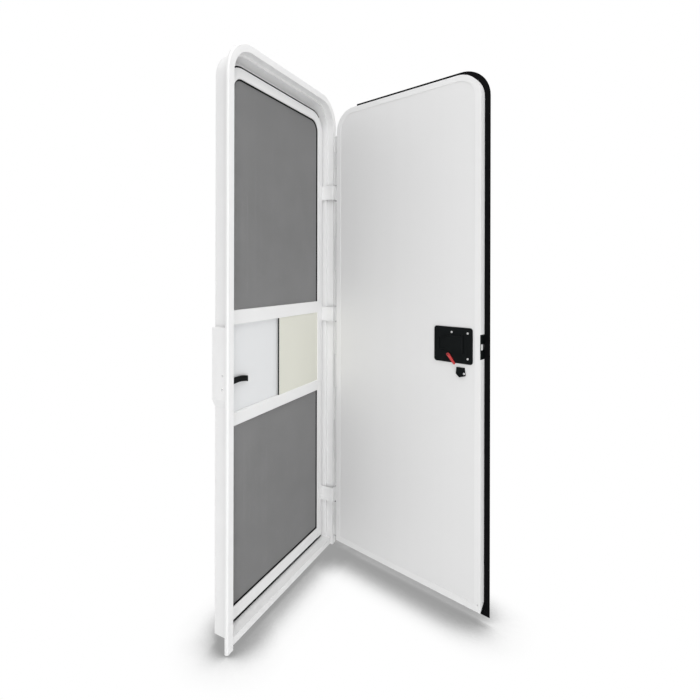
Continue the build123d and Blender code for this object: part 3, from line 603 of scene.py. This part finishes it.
def make_piece(name: str, points: np.ndarray, quads: np.ndarray, body: Body, slot: Slot,
               material: bpy.types.Material) -> bpy.types.Object:
    """Make a piece from arrays, close its seams and poles, and let it ride on a body.

    Args:
        name: Name of the piece.
        points: Vertices in metres in the object's frame.
        quads: Four vertex numbers per face.
        body: Body that it moves with.
        slot: Record slot that it would take its finish from; not used.
        material: Its material.

    Returns:
        The new object.
    """
    mesh = bpy.data.meshes.new(name)
    mesh.from_pydata(points.tolist(), [], quads.tolist())
    shell = bmesh.new()
    shell.from_mesh(mesh)
    bmesh.ops.remove_doubles(shell, verts=shell.verts, dist=SEAM)
    bmesh.ops.recalc_face_normals(shell, faces=shell.faces)
    shell.to_mesh(mesh)
    shell.free()
    mesh.polygons.foreach_set("use_smooth", np.ones(len(mesh.polygons), bool))
    mesh.set_sharp_from_angle(angle=CREASE)
    mesh.materials.append(material)
    piece = bpy.data.objects.new(name, mesh)
    bpy.context.scene.collection.objects.link(piece)
    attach(piece, body.value)
    log.info("made %s with %d faces", name, len(mesh.polygons))
    return piece


@dataclass(frozen=True)
class PanHead:
    """A pan-head screw with a cross recess.

    Attributes:
        radius: Radius of the head.
        height: Height of the head.
        side: Height of its side as a share of the whole.
        arm: Half length of the recess as a share of the radius.
        width: Width of a recess arm as a share of the radius.
        ramps: Width of the recess's slopes, beside an arm and at its end, as shares of the radius.
        depth: Depth of the recess as a share of the height.
        spokes: Points round the head.
        rings: Points from the middle to the rim.
    """

    radius: float
    height: float
    side: float = 0.35
    arm: float = 0.6
    width: float = 0.24
    ramps: tuple[float, float] = (0.1, 0.12)
    depth: float = 0.55
    spokes: int = 40
    rings: int = 12

    def shape(self) -> Shape:
        """Work out the head as a function of radius and angle.

        The height is the side's plus a dome, the square root of one less the radius to the third
        power, less a recess where the point lies within either arm of a cross. The side drops to the
        seat and a flat disc closes it below.

        Returns:
            Points as distances along, up and out, and quads.
        """
        radii = np.linspace(0.0, 1.0, self.rings)[:, None]
        angles = np.linspace(0.0, 2 * np.pi, self.spokes, endpoint=False)[None, :]
        x, y = radii * np.cos(angles), radii * np.sin(angles)
        dome = self.side + (1.0 - self.side) * np.sqrt(np.clip(1.0 - radii**3, 0.0, 1.0))

        def arm(across: np.ndarray, down: np.ndarray) -> np.ndarray:
            """Depth share of one arm, ramped at its edges."""
            inside = np.clip((self.width / 2 - np.abs(across)) / self.ramps[0] + 0.5, 0.0, 1.0)
            return inside * np.clip((self.arm - np.abs(down)) / self.ramps[1] + 0.5, 0.0, 1.0)

        top = dome - self.depth * np.maximum(arm(x, y), arm(y, x))
        heights = np.concatenate((top, np.zeros((2, self.spokes))))
        x = np.concatenate((x, x[-1:], x[:1]))
        y = np.concatenate((y, y[-1:], y[:1]))
        points = np.stack((x * self.radius, y * self.radius, heights * self.height), -1)
        return points.reshape(-1, 3), grid_quads(self.rings + 2, self.spokes)


def screws(name: str, head: PanHead, seats: list[Seat], body: Body, material: bpy.types.Material) -> None:
    """Make one piece of several equal screws, each turned further than the one before.

    Args:
        name: Name of the piece.
        head: Shape of a screw.
        seats: Where each screw sits.
        body: Body that they move with.
        material: Their material.
    """
    shape, quads = head.shape()
    turned = []
    for number, seat in enumerate(seats):
        cosine, sine = math.cos(SCREW_TURN * number), math.sin(SCREW_TURN * number)
        spin = np.array(((cosine, sine, 0), (-sine, cosine, 0), (0, 0, 1)))
        turned.append((seat.put(shape @ spin), quads))
    make_piece(name, *joined(turned), body, Slot.ZINC, material)


def prisms(starts: np.ndarray, ends: np.ndarray, across: np.ndarray, deep: np.ndarray) -> Shape:
    """Work out straight wires of diamond section, each from a start to an end.

    A wire's point is its start or end plus the section's corner, a half width across or a half depth.
    Each wire has eight points: the four corners at its start, then those at its end.

    Args:
        starts: Start of each wire.
        ends: End of each wire.
        across: Half width as a vector.
        deep: Half depth as a vector.

    Returns:
        Points and quads.
    """
    section = np.stack((across, deep, -across, -deep))
    points = np.stack((starts, ends), 1)[:, :, None, :] + section
    sides = [(i, (i + 1) % 4, 4 + (i + 1) % 4, 4 + i) for i in range(4)] + [(3, 2, 1, 0), (4, 5, 6, 7)]
    quads = np.arange(len(starts))[:, None, None] * 8 + np.array(sides)[None]
    return points.reshape(-1, 3), quads.reshape(-1, 4)


# Sub-assemblies


@dataclass
class WallFrame:
    """The fixed frame with its strike box.

    Attributes:
        screw: Screw of the strike box.
        screw_heights: Heights of its two screws.
        screw_depth: Their distance behind the flange.
    """

    screw: PanHead = PanHead(3.6 * MM, 1.6 * MM)
    screw_heights: tuple[float, ...] = (0.7866, 0.7459)
    screw_depth: float = 0.0196

    def build(self, paints: Paints) -> None:
        """Dress the frame and add the strike box's screws.

        Args:
            paints: The materials.
        """
        paints.dress(Paint.COAT, "frame_head", "frame_hinge_jamb", "frame_latch_jamb", "frame_sill",
                     "frame_back_stop", "main_hinge_frame_leaf", "strike_box")
        paints.dress(Paint.STEEL, "main_hinge_pin")
        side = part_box("strike_box")[0].x
        seats = [Seat(np.array((side, self.screw_depth, height)), INDOORS, UP, -SIDEWAYS)
                 for height in self.screw_heights]
        screws("strike_box_screws", self.screw, seats, Body.FRAME, paints[Paint.ZINC])


@dataclass
class MainDoor:
    """The open main door with its lock.

    Attributes:
        screw: Screw of the lock plate and the catch.
        small_screw: Screw of the rim's lower corner.
        lock_screws: Distance from the hinge and height of each screw of the lock plate.
        lock_face: How far the lock plate stands out where its screws sit.
        catch_screw: Distance from the hinge and height of the catch's screw.
        corner_screw: Distance from the hinge and height of the screw in the rim's inner face.
        edge_screw_height: Height of the screw in the rim's edge.
        guide_thick: Thickness of the plates beside the bolt.
        guide_gap: Gap between them and the bolt.
        guide_margin: Distance from them to the sides of the edge plate.
        rib_heights: Heights of the ribs on the edge plate.
        rib_size: Height and thickness of a rib.
        seat: Place on the hinge axis, with directions along the open door, up and out of its inner face.
    """

    screw: PanHead = PanHead(3.6 * MM, 1.8 * MM)
    small_screw: PanHead = PanHead(2.6 * MM, 1.0 * MM)
    lock_screws: tuple[tuple[float, float], ...] = ((0.5217, 0.896), (0.5763, 0.896), (0.5763, 0.8146))
    lock_face: float = 4 * MM
    catch_screw: tuple[float, float] = (0.5651, 0.7667)
    corner_screw: tuple[float, float] = (0.609, 0.051)
    edge_screw_height: float = 0.056
    guide_thick: float = 1.6 * MM
    guide_gap: float = 0.3 * MM
    guide_margin: float = 0.5 * MM
    rib_heights: tuple[float, ...] = (0.8815, 0.8745)
    rib_size: tuple[float, float] = (2.6 * MM, 0.7 * MM)
    seat: Seat = field(init=False)

    def __post_init__(self) -> None:
        """Take the hinge axis and the opening angle from the record's joint."""
        swing = next(joint for joint in frame["joints"] if joint["name"] == "main_door_swing")
        angle = math.radians(-swing["range_deg"][0])
        along = np.array((-math.cos(angle), -math.sin(angle), 0.0))
        inward = np.array((-math.sin(angle), math.cos(angle), 0.0))
        self.seat = Seat(np.array(swing["pos_m"], float), along, UP, inward)

    def span(self, node: str, direction: np.ndarray) -> tuple[float, float]:
        """Give a node's least and greatest distance from the hinge axis in a direction."""
        return reach(node, direction, self.seat.origin)

    def on_edge(self, node: str, depth: float, height: float) -> Seat:
        """Give the seat on a node's latch edge at a depth through the door and a height."""
        there = self.seat.at(self.span(node, self.seat.along)[1], height, depth)
        return Seat(there.origin, self.seat.out, UP, self.seat.along)

    def build(self, paints: Paints) -> None:
        """Dress the door and add what is screwed to it.

        Args:
            paints: The materials.
        """
        paints.dress(Paint.COAT, "door_rim", *(f"main_hinge_{run}_door_leaf" for run in
                                                ("bottom", "lower", "upper", "top")))
        paints.dress(Paint.SKIN, "door_inner_skin", "door_outer_skin")
        paints.dress(Paint.FOAM, "door_core")
        paints.dress(Paint.RUBBER, "door_edge_lip")
        paints.dress(Paint.BLACK, "door_corner_block", "lock_plate", "lock_paddle", "lock_faceplate",
                     "screen_catch", "outside_handle")
        paints.dress(Paint.RED, "lock_snib")
        paints.dress(Paint.ZINC, "latch_bolt")
        paints.dress(Paint.CHROME, "key_cylinder")
        self.add_screws(paints[Paint.ZINC])
        self.add_bolt_guide(paints)

    def add_screws(self, zinc: bpy.types.Material) -> None:
        """Set screws in the lock plate, the catch and the rim's lower corner.

        Args:
            zinc: The screws' material.
        """
        plate = self.span("lock_plate", self.seat.out)[0] + self.lock_face
        catch = self.span("screen_catch", self.seat.out)[1]
        seats = [self.seat.at(*place, plate) for place in self.lock_screws]
        screws("lock_screws", self.screw, [*seats, self.seat.at(*self.catch_screw, catch)],
               Body.MAIN_DOOR, zinc)
        front, back = self.span("door_rim", self.seat.out)
        corner = self.seat.at(*self.corner_screw, back)
        edge = self.on_edge("door_rim", (front + back) / 2, self.edge_screw_height)
        screws("rim_corner_screws", self.small_screw, [corner, edge], Body.MAIN_DOOR, zinc)

    def add_bolt_guide(self, paints: Paints) -> None:
        """Lay bright plates beside the bolt and ribs above it on the edge plate.

        Args:
            paints: The materials.
        """
        front, back = self.span("lock_faceplate", self.seat.out)
        bolt_front, bolt_back = self.span("latch_bolt", self.seat.out)
        foot, head = self.span("latch_bolt", UP)
        plates = []
        for low, high in ((front + self.guide_margin, bolt_front - self.guide_gap),
                          (bolt_back + self.guide_gap, back - self.guide_margin)):
            points, quads = pad(high - low, head - foot, self.guide_thick)
            seat = self.on_edge("lock_faceplate", (low + high) / 2, (foot + head) / 2)
            plates.append((seat.put(points), quads))
        make_piece("bolt_guide_plates", *joined(plates), Body.MAIN_DOOR, Slot.ZINC, paints[Paint.ZINC])
        points, quads = pad(back - front - 2 * self.guide_margin, *self.rib_size)
        ribs = [(self.on_edge("lock_faceplate", (front + back) / 2, height).put(points), quads)
                for height in self.rib_heights]
        make_piece("edge_plate_ribs", *joined(ribs), Body.MAIN_DOOR, Slot.BLACK, paints[Paint.BLACK])


@dataclass
class ScreenDoor:
    """The screen door with its woven mesh.

    Attributes:
        pitch: Distance between wires.
        wire: Half width and half depth of a wire.
        stray: How far a wire lies from its even place at most.
        corner: Radius of the upper mesh's top corners.
        outer_corner: Radius of the screen's top corners.
        shade_seal_end: Distance from the foot strip's ends to the screen's sides; both strips are partly seal
            and partly painted shade.
        shade_seal_turn: How far the head strip follows the top corners, in degrees.
        shade_seal_tall: Half height of the foot strip and of the head strip.
        shade_seal_deep: Half depth of both strips.
        shade_seal_points: Points of the head strip's path in each corner.
    """

    pitch: float = 0.9 * MM
    wire: tuple[float, float] = (0.3 * MM, 0.36 * MM)
    stray: float = 0.12 * MM
    corner: float = 43 * MM
    outer_corner: float = 76 * MM
    # Black strips at the screen's foot and head: partly real seal, partly painted shade that darkens the
    # gaps.
    shade_seal_end: float = 6 * MM
    shade_seal_turn: float = 38.0
    shade_seal_tall: tuple[float, float] = (3.8 * MM, 2.4 * MM)
    shade_seal_deep: float = 2.5 * MM
    shade_seal_points: int = 12

    def build(self, paints: Paints) -> None:
        """Dress the screen, weave both meshes and add the black strips at its foot and head, partly seal and
        partly painted shade.

        Args:
            paints: The materials.
        """
        paints.dress(Paint.COAT, "screen_surround", "screen_bottom_rail", "screen_lower_rail",
                     "screen_upper_rail", *(f"screen_hinge_{place}_strap" for place in
                                            ("lower", "middle", "upper")))
        paints.dress(Paint.RUBBER, "upper_spline", "lower_spline")
        paints.dress(Paint.BLACK, "panel_edge_strip", "screen_latch_body", "screen_latch_lever")
        paints.dress(Paint.CREAM, "fixed_panel")
        paints.dress(Paint.WHITE, "sliding_hatch")
        self.weave("upper_mesh", self.corner, paints)
        self.weave("lower_mesh", 0.0, paints)
        self.add_shade_seals(paints[Paint.RUBBER])

    def add_shade_seals(self, rubber: bpy.types.Material) -> None:
        """Run a black strip along the foot of the bottom rail and one round the head of the top rail: partly
        seal, partly painted shade in the gaps.

        The head seal's path is a straight run with an arc at each end: the corner's centre plus the radius
        times the sine and cosine of the turn.

        Args:
            rubber: Material of the strips.
        """
        foot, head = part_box("screen_bottom_rail")[0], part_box("screen_surround")[1]
        depth = foot.y + self.shade_seal_deep
        low, high = self.shade_seal_tall
        half = head.x - self.shade_seal_end
        under = np.array(((-half, depth, foot.z - low), (half, depth, foot.z - low)))
        turn = np.radians(np.linspace(self.shade_seal_turn, 0.0, self.shade_seal_points))
        radius = self.outer_corner + high
        x = -(head.x - self.outer_corner) - radius * np.sin(turn)
        z = head.z - self.outer_corner + radius * np.cos(turn)
        left = np.stack((x, np.full_like(x, depth), z), -1)
        over = np.concatenate((left, left[::-1] * (-1, 1, 1)))
        # Painted shade: the strips darken the gaps under the bottom rail and over the top rail, partly as
        # real seal.
        shade_seals = [carried(under, low, self.shade_seal_deep), carried(over, high, self.shade_seal_deep)]
        make_piece("screen_shade_seals", *joined(shade_seals), Body.SCREEN_DOOR, Slot.RUBBER, rubber)

    def weave(self, node: str, corner: float, paints: Paints) -> None:
        """Make a woven mesh in place of a sheet.

        Upright wires lie in front and level wires behind, each a little off its even place. A wire's end
        follows the outline: the head less the corner's radius plus the height of its arc, which is the
        square root of the radius squared less the distance into the corner squared.

        Args:
            node: The sheet's CAD node.
            corner: Radius of its top corners.
            paints: The materials.
        """
        low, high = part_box(node)
        width, depth = self.wire
        half, head = high.x, high.z
        front, back = low.y + depth, high.y - depth
        x = np.arange(-half + self.pitch / 2, half - self.stray, self.pitch)
        z = np.arange(low.z + self.pitch / 2, head - self.stray, self.pitch)
        uneven = np.random.default_rng(len(z))
        x = x + uneven.uniform(-self.stray, self.stray, x.shape)
        z = z + uneven.uniform(-self.stray, self.stray, z.shape)
        into = np.clip(np.abs(x) - (half - corner), 0.0, corner)
        tops = head - corner + np.sqrt(corner**2 - into**2)
        rise = np.clip(z - (head - corner), 0.0, corner)
        ends = half - corner + np.sqrt(corner**2 - rise**2)
        flat, level = np.full_like(x, front), np.full_like(z, back)
        warp = prisms(np.stack((x, flat, np.full_like(x, low.z)), -1), np.stack((x, flat, tops), -1),
                      SIDEWAYS * width, INDOORS * depth)
        weft = prisms(np.stack((-ends, level, z), -1), np.stack((ends, level, z), -1),
                      UP * width, INDOORS * depth)
        woven = make_piece(f"{node}_weave", *joined([warp, weft]), Body.SCREEN_DOOR, Slot.MESH,
                           paints[Paint.WIRE])
        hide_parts(node)


# Studio


@dataclass
class Studio:
    """Floor, light and camera.

    Attributes:
        image: Side of the square image in pixels.
        focal: Focal length in pixels.
        centre: Pixel where the camera's axis meets the image.
        eye: Where the camera stands.
        heading: Level direction in which it looks, in degrees from +X.
        roll: Turn of the camera about its axis in degrees.
        sensor: Width of the sensor in millimetres.
        clip: Nearest and furthest distance that it sees.
        floor_gap: Gap under the object.
        floor_size: Side of the floor.
        floor_colour: Colour with which the floor lights the object.
        floor_roughness: Roughness of the floor.
        shadow_reach: How far the soft shadow on the floor spreads.
        shadow_samples: Directions in which the floor looks for what hides the sky.
        shadow: Floor brightness where it is darkest.
        shadow_full: Share of open sky at which the floor is darkest.
        shadow_lean: Direction round which it looks.
        light: Strength of the surrounding light.
        aim: Point that the lamps face.
        lamps: Place, width and power of each lamp.
    """

    image: int = 700
    focal: float = 470.2
    centre: tuple[float, float] = (316.9, 271.5)
    eye: Triple = (-1.3715, -0.9017, 1.0911)
    heading: float = 29.947
    roll: float = 0.121
    sensor: float = 36.0
    clip: tuple[float, float] = (0.05, 100.0)
    floor_gap: float = 0.002
    floor_size: float = 30.0
    floor_colour: Colour = (0.9, 0.9, 0.9)
    floor_roughness: float = 0.9
    shadow_reach: float = 0.16
    shadow_samples: int = 16
    shadow: float = 0.33
    shadow_full: float = 0.65
    shadow_lean: Triple = (-0.1, 0.1, 0.99)
    light: float = 0.52
    aim: Triple = (0.1, -0.1, 0.85)
    lamps: tuple[tuple[Triple, float, float], ...] = (
        ((-2.7, -2.3, 0.85), 1.6, 26.0),
        ((-1.0, -1.2, 4.0), 3.0, 60.0),
        ((2.5, 3.0, 2.5), 3.0, 45.0),
        ((-1.5, -0.75, 0.32), 0.6, 3.0))

    def build(self) -> None:
        """Set up the scene round the object."""
        bpy.context.scene.view_settings.view_transform = "Standard"
        self.make_camera()
        self.make_floor()
        self.make_light()

    def make_camera(self) -> None:
        """Place the camera level at the photograph's viewpoint, shifted to its framing."""
        data = bpy.data.cameras.new("camera")
        data.sensor_width = self.sensor
        data.lens = self.focal / self.image * self.sensor
        data.shift_x = (self.image / 2 - self.centre[0]) / self.image
        data.shift_y = (self.centre[1] - self.image / 2) / self.image
        data.clip_start, data.clip_end = self.clip
        camera = bpy.data.objects.new("camera", data)
        heading = math.radians(self.heading)
        look = Vector((math.cos(heading), math.sin(heading), 0.0))
        turn = look.to_track_quat("-Z", "Y").to_matrix() @ Matrix.Rotation(math.radians(self.roll), 3, "Z")
        camera.matrix_world = Matrix.Translation(self.eye) @ turn.to_4x4()
        bpy.context.scene.collection.objects.link(camera)
        bpy.context.scene.camera = camera

    def make_floor(self) -> None:
        """Lay a plain pale floor that shows white to the camera, with the object's soft shadow."""
        half, height = self.floor_size / 2, CAD_BOX[0].z - self.floor_gap
        corners = [(-half, -half, height), (half, -half, height), (half, half, height), (-half, half, height)]
        mesh = bpy.data.meshes.new("floor")
        mesh.from_pydata(corners, [], [(0, 1, 2, 3)])
        material = bpy.data.materials.new("pale_floor")
        material.use_nodes = True
        tree = material.node_tree
        shader = tree.nodes["Principled BSDF"]
        shader.inputs["Base Color"].default_value = (*self.floor_colour, 1.0)
        shader.inputs["Roughness"].default_value = self.floor_roughness
        near = tree.nodes.new("ShaderNodeAmbientOcclusion")
        near.inputs["Distance"].default_value = self.shadow_reach
        near.samples = self.shadow_samples
        lean = tree.nodes.new("ShaderNodeCombineXYZ")
        for socket, value in zip(lean.inputs, self.shadow_lean):
            socket.default_value = value
        tree.links.new(lean.outputs["Vector"], near.inputs["Normal"])
        fade = tree.nodes.new("ShaderNodeMapRange")
        fade.interpolation_type = "SMOOTHSTEP"
        fade.inputs["From Min"].default_value = self.shadow_full
        fade.inputs["To Min"].default_value = self.shadow
        glow = tree.nodes.new("ShaderNodeEmission")
        seen = self.seen_directly(tree)
        blend = tree.nodes.new("ShaderNodeMixShader")
        tree.links.new(near.outputs["AO"], fade.inputs["Value"])
        tree.links.new(fade.outputs["Result"], glow.inputs["Color"])
        tree.links.new(seen, blend.inputs["Fac"])
        tree.links.new(shader.outputs["BSDF"], blend.inputs[1])
        tree.links.new(glow.outputs["Emission"], blend.inputs[2])
        tree.links.new(blend.outputs["Shader"], tree.nodes["Material Output"].inputs["Surface"])
        mesh.materials.append(material)
        floor = bpy.data.objects.new("floor", mesh)
        bpy.context.scene.collection.objects.link(floor)

    @staticmethod
    def seen_directly(tree: bpy.types.NodeTree) -> bpy.types.NodeSocket:
        """Tell the rays that show a surface from the rays that light the object.

        Args:
            tree: Node tree to add the nodes to.

        Returns:
            A socket that is 1 for what the camera, a mirror or a pane shows, and otherwise 0.
        """
        path = tree.nodes.new("ShaderNodeLightPath")
        first, both = (tree.nodes.new("ShaderNodeMath") for _ in range(2))
        first.operation = both.operation = "MAXIMUM"
        tree.links.new(path.outputs["Is Camera Ray"], first.inputs[0])
        tree.links.new(path.outputs["Is Glossy Ray"], first.inputs[1])
        tree.links.new(first.outputs["Value"], both.inputs[0])
        tree.links.new(path.outputs["Is Transmission Ray"], both.inputs[1])
        return both.outputs["Value"]

    def make_light(self) -> None:
        """Surround the object with even white light and add lamps in front, above, behind and low down."""
        world = bpy.data.worlds.new("studio")
        bpy.context.scene.world = world
        world.use_nodes = True
        tree = world.node_tree
        sky = tree.nodes["Background"]
        sky.inputs["Color"].default_value = (1.0, 1.0, 1.0, 1.0)
        level = tree.nodes.new("ShaderNodeMapRange")
        level.inputs["To Min"].default_value = self.light
        tree.links.new(self.seen_directly(tree), level.inputs["Value"])
        tree.links.new(level.outputs["Result"], sky.inputs["Strength"])
        for number, (place, width, power) in enumerate(self.lamps):
            data = bpy.data.lights.new(f"soft_lamp_{number}", "AREA")
            data.shape, data.size, data.energy = "DISK", width, power
            lamp = bpy.data.objects.new(data.name, data)
            turn = (Vector(self.aim) - Vector(place)).to_track_quat("-Z", "Y").to_matrix().to_4x4()
            lamp.matrix_world = Matrix.Translation(place) @ turn
            bpy.context.scene.collection.objects.link(lamp)


def main() -> None:
    """Build the studio and dress each sub-assembly in order."""
    logging.basicConfig(level=logging.INFO, format="%(name)s: %(message)s")
    paints = Paints(Effects())
    for assembly in (WallFrame(), MainDoor(), ScreenDoor()):
        assembly.build(paints)
    Studio().build()


if __name__ == "__main__":
    main()
